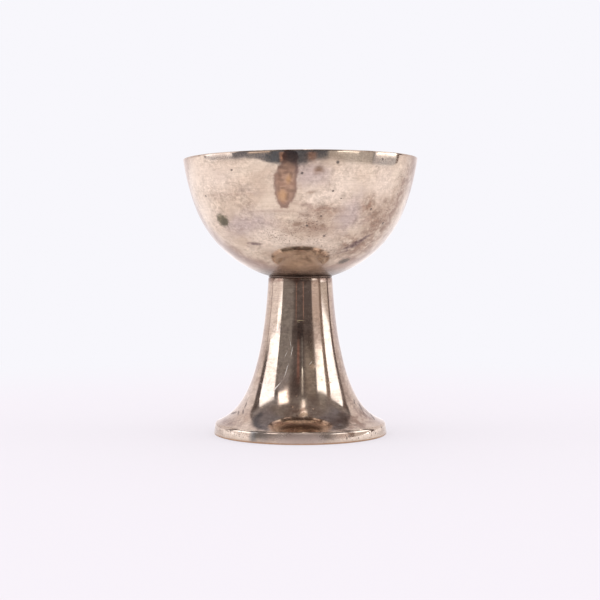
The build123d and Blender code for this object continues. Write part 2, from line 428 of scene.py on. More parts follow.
def finishPiece(bm, name, body, materials, slotName, *nodes):
    mesh = bpy.data.meshes.new(name)
    bm.to_mesh(mesh)
    bm.free()
    mesh.shade_smooth()
    piece = bpy.data.objects.new(name, mesh)
    bpy.context.scene.collection.objects.link(piece)
    for material in materials:
        mesh.materials.append(material)
    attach(piece, body)
    if nodes:
        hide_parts(*nodes)
    print(name, "made:", len(mesh.polygons), "faces")
    return piece


def ripple(bm, size, depth, seed):
    # The slight unevenness that hand spinning and burnishing leave
    bm.normal_update()
    offset = Vector((seed * 7.3, seed * 3.1, seed * 5.7))
    for vert in bm.verts:
        vert.co += vert.normal * depth * noise.noise(vert.co / size + offset)


# Silver plate: a clean metal under veils of tarnish, with marks listed for each piece

silver = {
    "clean": (0.615, 0.507, 0.408), "veil": (0.500, 0.390, 0.308), "mauve": (0.435, 0.350, 0.325),
    "brown": (0.265, 0.170, 0.125), "speck": (0.085, 0.055, 0.047),
    "polished": 0.055, "hazy": 0.17, "grainHaze": 0.05,  # roughness, clean and tarnished
    "blotchSize": 3.2, "grainSize": 0.55, "lineSize": 1.0, "mottleSize": 1.7, "fineSize": 0.8,
    "unevenSize": 9, "lineShade": (0.62, 1.12), "mottleShade": (0.50, 1.42), "fineShade": (0.76, 1.20),
}


def silverNoises(tree, points, look):
    seed = look["seed"]
    return {
        "wide": clouds(tree, points, look["cloudSize"], 5, 0.58, (1, 1, 1.6), seed, 0.6),
        "blotch": clouds(tree, points, silver["blotchSize"], 5, 0.62, (1, 1, 1.5), seed + 5, 0.4),
        "grain": clouds(tree, points, silver["grainSize"], 3, 0.6, (1, 1, 1.4), seed + 9),
        "lines": clouds(tree, points, silver["lineSize"], 3, 0.65, (0.10, 0.10, 4.5), seed + 2),
        "mauve": clouds(tree, points, look["cloudSize"] * 0.8, 4, 0.6, (1, 1, 2), seed + 17),
        "mottle": clouds(tree, points, silver["mottleSize"], 7, 0.68, (1, 1, 1.35), seed + 23, 0.3),
        "uneven": clouds(tree, points, silver["unevenSize"], 3, 0.5, shift=seed + 29),
        "fine": clouds(tree, points, silver["fineSize"], 3, 0.7, (1, 1, 1.3), seed + 41),
    }


def tarnishedSilver(tree, place, edge, noises, look):
    # The colour under the stains, and how much of each tarnish is there
    veil = remap(tree, calc(tree, "ADD", noises["wide"], look["veil"]), 0.36, 0.66)
    colour = mixColour(tree, veil, silver["clean"], silver["veil"])
    mauve = remap(tree, noises["mauve"], 0.50, 0.74, 0.0, look["mauve"])
    mauve = liftedBy(tree, mauve, place, edge, look.get("mauvePatches", []), 0.8, 0.85)
    colour = mixColour(tree, mauve, colour, silver["mauve"])
    for mark in look.get("brightPatches", []):
        shown = times(tree, ovalMark(tree, place, edge, mark, 0.8), 0.8)
        colour = mixColour(tree, shown, colour, look["brightColour"])
    brown = remap(tree, noises["blotch"], 0.57, 0.75, 0.0, look["brown"])
    brownStrength = remap(tree, noises["blotch"], 0.30, 0.62, 0.15, 0.95)
    # the brown patches hold tarnish, and on the bowl's bottom and the ring painted shade as well
    brown = liftedBy(tree, brown, place, edge, look["brownAndShadePatches"], 0.8, brownStrength)
    colour = mixColour(tree, brown, colour, silver["brown"])
    specks = remap(tree, noises["grain"], 0.66, 0.80, 0.0, look["specks"])
    speckStrength = remap(tree, noises["grain"], 0.54, 0.68, 0.0, 0.85)
    specks = liftedBy(tree, specks, place, edge, look.get("speckPatches", []), 0.7, speckStrength)
    return mixColour(tree, specks, colour, silver["speck"]), veil, brown


def shadedSilver(tree, colour, noises, look):
    # Spinning lines and two sizes of mottling, which come and go over the piece
    shade = remap(tree, noises["lines"], 0.30, 0.70, *silver["lineShade"])
    colour = mixColour(tree, look["lines"], colour, shade, "MULTIPLY")
    share = times(tree, remap(tree, noises["uneven"], 0.35, 0.65, 0.25, 1.0), look["mottle"])
    shade = remap(tree, noises["mottle"], 0.30, 0.70, *silver["mottleShade"])
    colour = mixColour(tree, share, colour, shade, "MULTIPLY")
    shade = remap(tree, noises["fine"], 0.32, 0.68, *silver["fineShade"])
    return mixColour(tree, share, colour, shade, "MULTIPLY")


def makeSilver(name, look):
    material, tree, shader = newMaterial(name)
    place = surfacePlace(tree)
    points = place["points"]
    edges = {"sharp": waver(tree, points, 1.1, 4, 0.6, 1.1), "soft": waver(tree, points, 1.8, 3, 0.55, 0.55),
             "smoky": waver(tree, points, 7, 5, 0.6, 2.2, 31)}
    noises = silverNoises(tree, points, look)
    colour, veil, brown = tarnishedSilver(tree, place, edges["smoky"], noises, look)
    colour = shadedSilver(tree, colour, noises, look)
    tarnish = calc(tree, "MAXIMUM", brown, times(tree, veil, 0.45))
    rough = mixValue(tree, tarnish, silver["polished"], silver["hazy"])
    haze = times(tree, remap(tree, noises["grain"], 0.40, 0.70), silver["grainHaze"])
    rough = calc(tree, "ADD", rough, haze)
    metal, raised = 1.0, times(tree, noises["lines"], 0.12)
    for stain in look["stains"]:
        edge, soft = stain["edge"]
        shown = allMarks(tree, place, edges[edge], stain["marks"], soft)
        if "patchy" in stain:
            shown = times(tree, shown, remap(tree, noises["blotch"], 0.35, 0.60, 1 - stain["patchy"], 1.0))
        shown = times(tree, shown, stain["share"])
        stainColour = stain["colour"]
        if "second" in stain:
            share = remap(tree, noises["blotch"], 0.40, 0.62)
            stainColour = mixColour(tree, share, stain["colour"], stain["second"])
        colour = mixColour(tree, shown, colour, stainColour)
        rough = mixValue(tree, shown, rough, stain["rough"])
        metal = mixValue(tree, shown, metal, stain.get("metal", 1.0))
        raised = calc(tree, "ADD", raised, times(tree, shown, stain.get("raised", 0.0)))
    joinShader(tree, shader, colour, rough, metal, raised, look["bumpDepth"])
    return material


def makeDull(name, look):
    # Metal without the silver's marks: the gilt inside, the foot's inside and brass
    material, tree, shader = newMaterial(name)
    place = surfacePlace(tree)
    points = place["points"]
    wide = clouds(tree, points, look["size"], 5, 0.6, (1, 1, 1.3), look["seed"], 0.5)
    fine = clouds(tree, points, look["size"] / 8, 4, 0.6, shift=look["seed"] + 4)
    lines = clouds(tree, points, 0.5, 2, 0.6, (0.12, 0.12, 4), look["seed"] + 8)
    colour = mixColour(tree, remap(tree, wide, 0.35, 0.68), look["light"], look["dark"])
    colour = mixColour(tree, remap(tree, fine, 0.52, 0.74, 0.0, look["grime"]), colour, look["grimeColour"])
    colour = mixColour(tree, look["lines"], colour, remap(tree, lines, 0.3, 0.7, 0.7, 1.1), "MULTIPLY")
    rough = remap(tree, calc(tree, "ADD", wide, times(tree, fine, 0.4)), 0.40, 0.95, *look["rough"])
    height = calc(tree, "ADD", times(tree, lines, look["lines"]), times(tree, fine, 0.5))
    joinShader(tree, shader, colour, rough, look["metal"], height, look["bumpDepth"])
    return material


# The bowl

bowlShape = {
    "floorRadius": 38.15 * mm, "turnHeight": 24.6 * mm, "rimRadius": 40.0 * mm,
    "wall": 0.9 * mm, "lipRound": 0.25 * mm,
    "bottomSteps": 40, "sideSteps": 24, "spinSteps": 288, "rippleSize": 13 * mm, "rippleDepth": 0.012 * mm,
    "rimDrop": 0.50 * mm,  # how much lower the rim has sunk on its left
}
bowlLook = {
    "seed": 3.0, "cloudSize": 15, "veil": 0.03, "mauve": 0.35, "brown": 0.32, "specks": 0.35,
    "mottle": 0.50, "lines": 0.25, "bumpDepth": 0.005, "brightColour": (0.665, 0.555, 0.465),
    "mauvePatches": [(-33, 71, 10, 3.5, -8), (27, 74, 4, 6, 20), (6, 85.5, 6, 3.5), (-80, 66, 8, 6),
        (120, 76, 14, 8), (-140, 72, 14, 7)],
    "brightPatches": [(-56, 87, 15, 6), (21, 83, 4, 6, 10), (-62, 76, 6, 5), (44, 84, 5, 5),
        (8, 64, 10, 2.5), (-20, 66, 7, 3), (8, 79, 4, 4), (100, 86, 12, 5), (152, 84, 12, 6)],
    # brown patches are tarnish, except the one all round at height 54, which is painted shade above the ring
    # over some grime
    "brownAndShadePatches": [(61, 78, 4, 12, 15), (52, 70, 8, 7, 35), (70, 88, 6, 6), (38, 77, 3, 3),
        (44, 63, 8, 4, 20), (8.5, 87.2, 1.4, 1.1), (4, 70, 6, 2.2), (12, 75, 5, 2), (-92, 80, 5, 10),
        (-84, 68, 5, 6), (-62, 62, 6, 3, 20), (145, 66, 10, 7), (-125, 84, 8, 6), (-50, 57.5, 12, 2.4, 12),
        (0, 54, 200, 1.6), (45, 57, 9, 2.2, -10)],
    "speckPatches": [(6, 71.5, 7, 4), (56, 73, 6, 7, 20), (-5, 67, 8, 2.5), (-86, 72, 4, 9),
        (62, 84, 5, 6), (-56, 59.4, 11, 2.4, 15), (22, 62, 9, 3)],
    "stains": [
        # faint brown streaks along the bowl
        {"edge": ("smoky", 0.8), "share": 0.35, "colour": (0.25, 0.16, 0.13), "rough": 0.20, "patchy": 0.8,
         "marks": [(-18, 74.9, 9, 0.35), (16, 69.5, 5, 0.6, -6), (-38, 80.5, 9, 0.4),
             (6, 76.5, 6, 0.8, 8)]},
        # dark streaks low on both sides
        {"edge": ("smoky", 0.6), "share": 0.85, "colour": (0.105, 0.062, 0.066), "rough": 0.22,
         "metal": 0.9, "patchy": 0.65,
         "marks": [(37, 63.6, 2.6, 0.7, -24), (41, 65.4, 2.2, 0.6, -24), (34, 62.2, 1.8, 0.5, -18),
             (46, 67.0, 1.8, 0.5, -28), (-61, 60.8, 3.4, 0.7, 24), (-52, 59.0, 3.4, 0.9, 18),
             (-43, 57.4, 3.2, 0.8, 12), (-33, 56.0, 3.0, 0.6, 8), (-33, 64.8, 3.2, 0.5, 4)]},
        # brown tarnish round the sides
        {"edge": ("smoky", 0.9), "share": 0.88, "colour": (0.25, 0.165, 0.130), "rough": 0.22,
         "patchy": 0.6,
         "marks": [(-68, 62.5, 7, 3.0, 20), (-82, 72, 4, 8), (-52, 58.8, 6, 1.6, 15), (76, 66, 4, 6, -20),
             (60, 60, 7, 2.2, -15), (80, 80, 2.6, 7), (-86, 84, 2, 4), (-76, 73, 2.4, 6),
             (-72, 67, 3, 4, 10)]},
        # thicker tarnish low down
        {"edge": ("soft", 0.85), "share": 0.85, "colour": (0.20, 0.125, 0.105),
         "second": (0.34, 0.25, 0.21), "rough": 0.22, "patchy": 0.35,
         "marks": [(-46, 57.9, 4.5, 1.1, 14), (-36, 56.6, 3.5, 1.0, 10), (-57, 60.0, 4.5, 1.2, 18),
             (-66, 63.0, 4, 1.6, 24), (-24, 56.8, 3.0, 0.7, 5), (-78, 70, 2.2, 5), (56, 58.8, 4, 0.9, -16),
             (38, 57.0, 4, 0.8, -10)]},
        # painted shade over the bowl's round bottom, all round above the ring
        {"edge": ("soft", 0.8), "share": 0.36, "colour": (0.30, 0.19, 0.135), "rough": 0.20,
         "marks": [(0, 54.0, 300, 5.0)]},
        # painted shade, nearly black, in the corner above the ring
        {"edge": ("soft", 0.75), "share": 0.92, "colour": (0.075, 0.049, 0.038), "rough": 0.32,
         "marks": [(0, 53.5, 300, 2.6)]},
        # the dried run, its dark edge first
        {"edge": ("soft", 0.14), "share": 0.86, "colour": (0.125, 0.072, 0.062),
         "second": (0.19, 0.115, 0.09), "rough": 0.16, "raised": 0.5,
         "marks": [(-7.2, 83.4, 3.65, 7.0, 5), (-8.2, 78.0, 1.9, 2.1), (-5.0, 88.5, 2.9, 3.6),
             (-4.6, 91.5, 2.6, 2.4)]},
        # the run's paler middle
        {"edge": ("soft", 0.35), "share": 0.80, "colour": (0.42, 0.27, 0.19),
         "second": (0.29, 0.175, 0.125), "rough": 0.20,
         "marks": [(-7.3, 83.4, 2.9, 6.1, 5), (-8.2, 78.2, 1.1, 1.4), (-5.6, 88.0, 2.0, 2.0)]},
        # darker spots in the run
        {"edge": ("sharp", 0.7), "share": 0.5, "colour": (0.13, 0.08, 0.062), "rough": 0.25, "raised": 0.3,
         "marks": [(-5.0, 81.2, 1.5, 0.55), (-7.8, 88.2, 1.6, 0.5, 10), (-6.6, 79.4, 0.6, 1.1, 20),
             (-9.6, 86.2, 0.6, 0.9), (-4.4, 86.0, 0.5, 1.0), (-10.4, 81.8, 0.5, 1.4),
             (-9.2, 84.6, 0.9, 0.45, 20), (-6.6, 86.8, 1.2, 0.4, -10), (-8.6, 82.0, 1.0, 0.35),
             (-5.4, 84.2, 0.8, 0.4, 30)]},
        # orange spots in the run
        {"edge": ("sharp", 0.9), "share": 0.55, "colour": (0.50, 0.29, 0.14), "rough": 0.25, "metal": 0.9,
         "marks": [(-8.8, 79.8, 1.2, 1.5, 10), (-5.6, 84.8, 0.7, 1.2, 10)]},
        # small brown spots
        {"edge": ("sharp", 0.9), "share": 0.6, "colour": (0.20, 0.125, 0.085), "rough": 0.25, "metal": 0.8,
         "raised": 0.1, "patchy": 0.5,
         "marks": [(8.6, 87.9, 1.2, 0.9), (5.2, 80.8, 1.6, 0.5, -15), (2.6, 73.8, 1.5, 0.6, 10),
             (10.5, 72.8, 1.2, 0.6), (46, 74.5, 0.9, 0.7), (57, 70.2, 1.2, 1.1, 20),
             (-1.5, 71.0, 1.3, 0.5), (13, 70.5, 1.0, 0.5), (50, 79, 1.0, 0.8)]},
        # the green spot
        {"edge": ("sharp", 0.35), "share": 0.92, "colour": (0.060, 0.048, 0.020),
         "second": (0.165, 0.130, 0.070), "rough": 0.60, "metal": 0.1, "raised": 2.0,
         "marks": [(-49.0, 72.5, 2.8, 1.95, -4)]},
        # the oval mark low on the right
        {"edge": ("sharp", 0.5), "share": 0.85, "colour": (0.07, 0.05, 0.036),
         "second": (0.16, 0.12, 0.085), "rough": 0.40, "metal": 0.5, "raised": 0.5,
         "marks": [(42.1, 59.2, 1.9, 0.95, -10)]},
        # pits
        {"edge": ("soft", 0.6), "share": 0.80, "colour": (0.05, 0.04, 0.04), "rough": 0.45, "metal": 0.5,
         "raised": 0.3,
         "marks": [(17.4, 90.1, 0.50, 0.46), (16.1, 81.2, 0.38, 0.32), (20.7, 78.9, 0.24, 0.22),
             (3.7, 70.4, 0.36, 0.3), (11.1, 73.4, 0.24, 0.22), (14.6, 67.2, 0.36, 0.32),
             (55.1, 71.6, 0.4, 0.42), (40.3, 75.9, 0.4, 0.34), (-56.9, 80.4, 0.42, 0.32),
             (41.5, 91.6, 0.6, 0.6), (0.8, 86.6, 0.4, 0.3), (-34, 88, 0.4, 0.3), (134, 83, 0.4, 0.4),
             (-160, 77, 0.5, 0.4)]},
    ],
}
insideLook = {
    "seed": 61, "size": 16, "light": (0.83, 0.66, 0.40), "dark": (0.66, 0.50, 0.33),
    "grime": 0.55, "grimeColour": (0.40, 0.27, 0.18), "lines": 0.35,
    "rough": (0.16, 0.34), "metal": 1.0, "bumpDepth": 0.006,
}


def bowlLine(bm, inset, floorHeight, rimHeight):
    # The round bottom's arc, then the side's, which leaves it smoothly and ends at the rim
    shape = bowlShape
    lean = asin(1 - shape["turnHeight"] / shape["floorRadius"])
    inward = Vector((-cos(lean), 0, sin(lean)))
    centre = Vector((0, 0, floorHeight + shape["floorRadius"]))
    turn = centre - inward * (shape["floorRadius"] - inset)
    across = Vector((shape["rimRadius"], 0, rimHeight)) - (centre - inward * shape["floorRadius"])
    sideReach = across.length_squared / (2 * across.dot(inward))
    sideCentre = centre + inward * (sideReach - shape["floorRadius"])
    rimX = sideCentre.x + sqrt((sideReach - inset) ** 2 - (rimHeight - sideCentre.z) ** 2)
    start = bm.verts.new((0, 0, floorHeight + inset))
    turned = arcTo(bm, start, Vector((0, 0, 1)), turn.x, turn.z, shape["bottomSteps"])
    return arcTo(bm, turned, inward, rimX, rimHeight, shape["sideSteps"])


def makeBowl():
    low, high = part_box("cup")
    bm = bmesh.new()
    outer = bowlLine(bm, 0, low.z, high.z)
    inner = bowlLine(bm, bowlShape["wall"], low.z, high.z)
    bm.edges.new((outer, inner))
    for corner in (outer, inner):
        roundCorner(bm, corner, bowlShape["lipRound"])
    spinRound(bm, bowlShape["spinSteps"])
    ripple(bm, bowlShape["rippleSize"], bowlShape["rippleDepth"], 1)
    centre = Vector((0, 0, low.z + bowlShape["floorRadius"]))
    for face in bm.faces:
        face.material_index = int(face.normal.dot(face.calc_center_median() - centre) < 0)
    for vert in bm.verts:
        up = (vert.co.z - low.z) / (high.z - low.z)
        leftShare = 0.5 - 0.5 * vert.co.x / bowlShape["rimRadius"]
        vert.co.z -= bowlShape["rimDrop"] * leftShare * max(up, 0) ** 2
    materials = [makeSilver("bowlSilver", bowlLook), makeDull("bowlInside", insideLook)]
    return finishPiece(bm, "bowl", "cup", materials, "silver_plate", "cup")


makeBowl()


# The ring under the bowl

ringShape = {
    "insetFromStem": 0.08 * mm, "edgeHeight": 0.46 * mm, "wall": 1.87 * mm,
    "spigotInset": 0.88 * mm,  # the stem's wall and the fit
    "ballRadius": 38.17 * mm,  # the bowl's round bottom, with the solder on it
    "partingGap": 0.08 * mm, "round": 0.12 * mm, "bowlSteps": 6, "spinSteps": 192,
}
# The ring is darkened all over: painted shade under the bowl, over tarnish
ringLook = {
    "seed": 21.0, "cloudSize": 9, "veil": 0.12, "mauve": 0.4, "brown": 0.75, "specks": 0.6, "mottle": 0.6,
    "lines": 0.3, "bumpDepth": 0.006,
    # the brown patch all round the ring is painted shade under the bowl
    "brownAndShadePatches": [(0, 53.9, 80, 1.2)],
    "stains": [
        # painted shade under the bowl over the whole ring, on top of tarnish
        {"edge": ("soft", 0.3), "share": 0.86, "colour": (0.125, 0.085, 0.068),
         "second": (0.20, 0.135, 0.105), "rough": 0.26, "raised": 0.2,
         "marks": [(0, 54.0, 300, 3.0)]},
        # the dark solder line under the bowl
        {"edge": ("sharp", 0.8), "share": 0.6, "colour": (0.05, 0.034, 0.028), "rough": 0.40, "metal": 0.9,
         "raised": 0.3, "patchy": 0.4,
         "marks": [(0, 54.1, 300, 0.22)]},
    ],
}


def makeRing():
    low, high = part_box("neck_ring")
    outside = (high.x - low.x) / 2
    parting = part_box("stem")[1].z + ringShape["partingGap"]
    spigot = outside + ringShape["insetFromStem"] - ringShape["spigotInset"]
    bore = spigot - ringShape["wall"]
    ball = ringShape["ballRadius"]
    ballCentre = parting + ringShape["edgeHeight"] + sqrt(ball ** 2 - outside ** 2)
    boreTop = ballCentre - sqrt(ball ** 2 - bore ** 2)
    bm = bmesh.new()
    foot = bm.verts.new((outside, 0, parting))
    edge = lineTo(bm, foot, outside, parting + ringShape["edgeHeight"])
    inward = (Vector((0, 0, ballCentre)) - edge.co).normalized()
    top = arcTo(bm, edge, inward, bore, boreTop, ringShape["bowlSteps"])
    boreFoot = lineTo(bm, top, bore, low.z)
    spigotFoot = lineTo(bm, boreFoot, spigot, low.z)
    spigotTop = lineTo(bm, spigotFoot, spigot, parting)
    bm.edges.new((spigotTop, foot))
    for corner in (foot, edge, boreFoot, spigotFoot):
        roundCorner(bm, corner, ringShape["round"], 3)
    spinRound(bm, ringShape["spinSteps"])
    materials = [makeSilver("ringSilver", ringLook)]
    return finishPiece(bm, "neckRing", "cup", materials, "silver_plate", "neck_ring")


makeRing()


# The trumpet stem

stemShape = {
    "topRadius": 10.95 * mm, "wall": 0.8 * mm, "taper": 3.6, "taperHold": 0.84,
    "flangeSlope": 24.3, "flareHold": 0.387,
    "edgeRound": 0.28 * mm, "mouthRound": 0.12 * mm, "flangeRound": 0.1 * mm,
    "platedMouth": 0.2 * mm,  # how far the silver goes down inside the top edge
    "curvePoints": 72, "spinSteps": 224, "rippleSize": 9 * mm, "rippleDepth": 0.006 * mm,
}
stemLook = {
    "seed": 11.0, "cloudSize": 12, "veil": -0.02, "mauve": 0.35, "brown": 0.30, "specks": 0.35,
    "mottle": 0.50, "lines": 0.24, "bumpDepth": 0.004, "brightColour": (0.70, 0.60, 0.51),
    "mauvePatches": [(-95, 24, 6, 9), (85, 40, 4, 10)],
    "brightPatches": [(-75, 12, 7, 5), (90, 8, 7, 3), (0, 4.8, 15, 1.1)],
    "brownAndShadePatches": [(0, 53.2, 80, 1.3), (-72, 5.0, 7, 0.8), (70, 7.5, 6, 2.8), (96, 17, 3, 6),
        (0, 9.5, 6, 2.0), (38, 6, 9, 2.0), (140, 20, 6, 6), (-140, 9, 8, 3), (84, 27, 2, 5)],
    "speckPatches": [(78, 20, 5, 6), (0, 7, 9, 2.2), (-72, 6, 7, 1.5), (72, 10, 5, 3)],
    "stains": [
        # bright scratches
        {"edge": ("sharp", 0.6), "share": 0.7, "colour": (0.75, 0.70, 0.64), "rough": 0.48, "metal": 0.6,
         "raised": -0.8,
         "marks": [(-11.9, 29.0, 0.13, 1.5, 10), (-17.7, 22.7, 0.16, 2.2, 14),
             (-27.6, 17.2, 0.17, 2.1, 38), (-14.2, 31.5, 0.08, 1.6, -12), (-20.0, 28.0, 0.07, 1.2, 24),
             (13.5, 25.2, 0.10, 0.8, 40), (118, 22, 0.14, 2.0, 25), (-128, 18, 0.14, 1.8, -30)]},
        # dark nicks on the flare
        {"edge": ("sharp", 0.5), "share": 0.75, "colour": (0.11, 0.07, 0.066), "rough": 0.45, "metal": 0.6,
         "raised": -0.6,
         "marks": [(-63, 10.6, 1.2, 0.42, 58), (-66, 7.9, 1.4, 0.30, 22), (-76, 7.5, 2.6, 0.40, -10),
             (-60, 8.6, 1.2, 0.26, 30), (66, 11.6, 1.2, 0.42, -44), (73.5, 9.8, 1.9, 0.65, -40),
             (68, 7.7, 0.55, 0.28, -50), (80, 6.3, 2.4, 0.24, -14), (76, 5.6, 1.6, 0.18, -10),
             (150, 8.0, 1.2, 0.2, 20), (-52, 18.0, 0.5, 0.14, 10)]},
        # brown haze below the top edge and in places
        {"edge": ("smoky", 0.8), "share": 0.6, "colour": (0.20, 0.13, 0.10), "rough": 0.24, "patchy": 0.6,
         "marks": [(0, 53.1, 300, 0.9), (-8, 17, 4, 5), (6, 12.5, 8, 2.4), (20, 30, 2, 7),
             (58, 20, 2.4, 7), (-55, 28, 2, 6)]},
        # a thin yellowish line across the front
        {"edge": ("soft", 0.5), "share": 0.75, "colour": (0.36, 0.30, 0.13), "rough": 0.5, "metal": 0.55,
         "marks": [(-0.4, 39.3, 1.45, 0.10, 3), (-3.2, 38.8, 0.4, 0.10, 20)]},
        # small rusty spots
        {"edge": ("sharp", 0.6), "share": 0.6, "colour": (0.40, 0.25, 0.15), "rough": 0.4, "metal": 0.7,
         "raised": 0.2,
         "marks": [(26, 19.6, 0.3, 0.26), (-7, 11.2, 0.4, 0.3), (15, 24.0, 1.1, 0.8),
             (36, 18.6, 0.6, 0.25), (3, 9.0, 1.4, 0.5), (12, 10.6, 0.3, 0.25), (-4, 14.6, 0.3, 0.2),
             (-38, 10.6, 0.35, 0.2), (32, 29, 0.25, 0.2)]},
    ],
}
stemInsideLook = {
    "seed": 83, "size": 9, "light": (0.55, 0.43, 0.34), "dark": (0.34, 0.24, 0.18),
    "grime": 0.7, "grimeColour": (0.13, 0.09, 0.07), "lines": 0.5,
    "rough": (0.30, 0.58), "metal": 1.0, "bumpDepth": 0.02,
}


def stemLine(inset, topHeight, flangeHeight, flangeRadius):
    taper, slope = radians(stemShape["taper"]), radians(stemShape["flangeSlope"])
    top = Vector((stemShape["topRadius"] - inset / cos(taper), 0, topHeight))
    edge = Vector((flangeRadius, 0, flangeHeight - inset / cos(slope)))
    leaving = Vector((sin(taper), 0, -cos(taper))) * stemShape["taperHold"] * (top.z - edge.z)
    arriving = Vector((cos(slope), 0, -sin(slope))) * stemShape["flareHold"] * (edge.x - top.x)
    return interpolate_bezier(top, top + leaving, edge - arriving, edge, stemShape["curvePoints"])


def makeStem():
    low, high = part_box("stem")
    flangeRadius = (high.x - low.x) / 2
    flangeHeight = low.z + stemShape["wall"] / cos(radians(stemShape["flangeSlope"]))
    bm = bmesh.new()
    ends = []
    for inset in (0, stemShape["wall"]):
        points = stemLine(inset, high.z, flangeHeight, flangeRadius)
        last = first = bm.verts.new(points[0])
        for point in points[1:]:
            last = lineTo(bm, last, point.x, point.z)
        ends.append((first, last))
    (outerTop, outerFlange), (innerTop, innerFlange) = ends
    bm.edges.new((outerTop, innerTop))
    bm.edges.new((outerFlange, innerFlange))
    roundCorner(bm, outerTop, stemShape["edgeRound"])
    roundCorner(bm, innerTop, stemShape["mouthRound"], 3)
    roundCorner(bm, outerFlange, stemShape["flangeRound"], 3)
    spinRound(bm, stemShape["spinSteps"])
    ripple(bm, stemShape["rippleSize"], stemShape["rippleDepth"], 2)
    for face in bm.faces:
        middle = face.calc_center_median()
        facing = face.normal.x * middle.x + face.normal.y * middle.y
        face.material_index = int(facing < 0 and middle.z < high.z - stemShape["platedMouth"])
    materials = [makeSilver("stemSilver", stemLook), makeDull("stemInside", stemInsideLook)]
    return finishPiece(bm, "trumpetStem", "foot", materials, "silver_plate", "stem")


makeStem()


# The upright band that the foot stands on

bandShape = {
    "shoulderHeight": 3.1 * mm, "shoulderRadius": 29.32 * mm, "lipRadius": 28.93 * mm,
    "wall": 1.8 * mm, "footRound": 0.35 * mm, "innerRound": 0.2 * mm, "solder": 0.02 * mm,
    "footSpread": 0.04 * mm,  # the side would meet the table this much outside the round's widest point
    "shoulderSteps": 6, "spinSteps": 224, "rippleSize": 7 * mm, "rippleDepth": 0.008 * mm,
}
bandLook = {
    "seed": 37.0, "cloudSize": 8, "veil": -0.03, "mauve": 0.3, "brown": 0.35, "specks": 0.5,
    "mottle": 0.35, "lines": 0.25, "bumpDepth": 0.005, "brightColour": (0.72, 0.62, 0.53),
    "brightPatches": [(-55, 1.9, 9, 1.2), (48, 1.9, 14, 1.2)],
    "brownAndShadePatches": [(-76, 2.2, 6, 1.4), (0, 0.15, 300, 0.3), (78, 2.0, 6, 1.4), (140, 2, 12, 1.2)],
    "speckPatches": [(-60, 2.4, 16, 1.4), (64, 2.2, 14, 1.4), (20, 1.8, 12, 1.0), (-130, 2, 14, 1.2)],
    "stains": [
        # the worn, dull middle of the front
        {"edge": ("smoky", 0.9), "share": 0.75, "colour": (0.50, 0.40, 0.36), "rough": 0.42, "metal": 0.82,
         "marks": [(0, 1.9, 9.5, 6)]},
        # a painted reflection of the dark room, as a bluish dark streak
        {"edge": ("soft", 0.7), "share": 0.75, "colour": (0.13, 0.135, 0.14), "rough": 0.20,
         "marks": [(-31.5, 2.2, 1.4, 2.2)]},
        # painted reflections of the dark room, as grey smudges
        {"edge": ("smoky", 0.8), "share": 0.40, "colour": (0.18, 0.18, 0.165), "rough": 0.20,
         "marks": [(-26, 2.4, 2.4, 1.8), (20, 2.4, 2.8, 1.4)]},
        # pits
        {"edge": ("sharp", 0.5), "share": 0.8, "colour": (0.07, 0.05, 0.045), "rough": 0.5, "metal": 0.4,
         "raised": 0.3,
         "marks": [(32.5, 2.3, 0.25, 0.25), (51, 2.6, 0.4, 0.2, 30), (58, 1.9, 0.3, 0.3),
             (40, 1.3, 0.22, 0.2), (-52, 3.0, 0.5, 0.2), (69, 3.2, 0.6, 0.25, 20)]},
        # the brown line that the foot stands on
        {"edge": ("sharp", 0.6), "share": 0.85, "colour": (0.42, 0.24, 0.13), "rough": 0.4, "metal": 0.7,
         "marks": [(0, 0.1, 300, 0.34)]},
    ],
}


def makeBand():
    low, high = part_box("foot_band")
    footRadius = (high.x - low.x) / 2 + bandShape["footSpread"]
    inner = footRadius - bandShape["wall"]
    lip = bandShape["lipRadius"]
    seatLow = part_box("stem")[0].z - bandShape["solder"]
    seatHigh = seatLow + (lip - inner) * tan(radians(stemShape["flangeSlope"]))
    bm = bmesh.new()
    foot = bm.verts.new((footRadius, 0, low.z))
    shoulder = lineTo(bm, foot, bandShape["shoulderRadius"], bandShape["shoulderHeight"])
    side = (shoulder.co - foot.co).normalized()
    top = arcTo(bm, shoulder, Vector((-side.z, 0, side.x)), lip, high.z, bandShape["shoulderSteps"])
    seatOuter = lineTo(bm, top, lip, seatLow)
    seatInner = lineTo(bm, seatOuter, inner, seatHigh)
    innerFoot = lineTo(bm, seatInner, inner, low.z)
    bm.edges.new((innerFoot, foot))
    roundCorner(bm, foot, bandShape["footRound"])
    roundCorner(bm, innerFoot, bandShape["innerRound"], 3)
    spinRound(bm, bandShape["spinSteps"])
    ripple(bm, bandShape["rippleSize"], bandShape["rippleDepth"], 3)
    for vert in bm.verts:
        vert.co.z = max(vert.co.z, low.z)  # nothing below the table
    materials = [makeSilver("bandSilver", bandLook)]
    return finishPiece(bm, "footBand", "foot", materials, "silver_plate", "foot_band")


makeBand()


# The screw joint inside the neck

brassLook = {
    "seed": 47, "size": 4, "light": (0.72, 0.53, 0.27), "dark": (0.50, 0.34, 0.17),
    "grime": 0.8, "grimeColour": (0.16, 0.10, 0.05), "lines": 0.45,
    "rough": (0.22, 0.46), "metal": 1.0, "bumpDepth": 0.012,
}
leatherLook = {
    "seed": 53, "light": (0.33, 0.19, 0.10), "dark": (0.15, 0.08, 0.045), "crease": (0.06, 0.035, 0.02),
    "rough": (0.55, 0.78), "bumpDepth": 0.05,
}
threadShape = {
    "pitch": 1.25 * mm, "depth": 0.62 * mm, "clearance": 0.06 * mm,
    "crest": 0.14, "flank": 0.62,  # their shares of half a pitch
    "runOut": 0.5 * mm, "endRunOut": 0.8 * mm,  # where the thread fades, at the shank and the nut's ends
    "rowsPerTurn": 16, "spinSteps": 64,
}
studShape = {"shank": 1.6 * mm, "point": 0.8 * mm}  # the plain top and the tapered tip
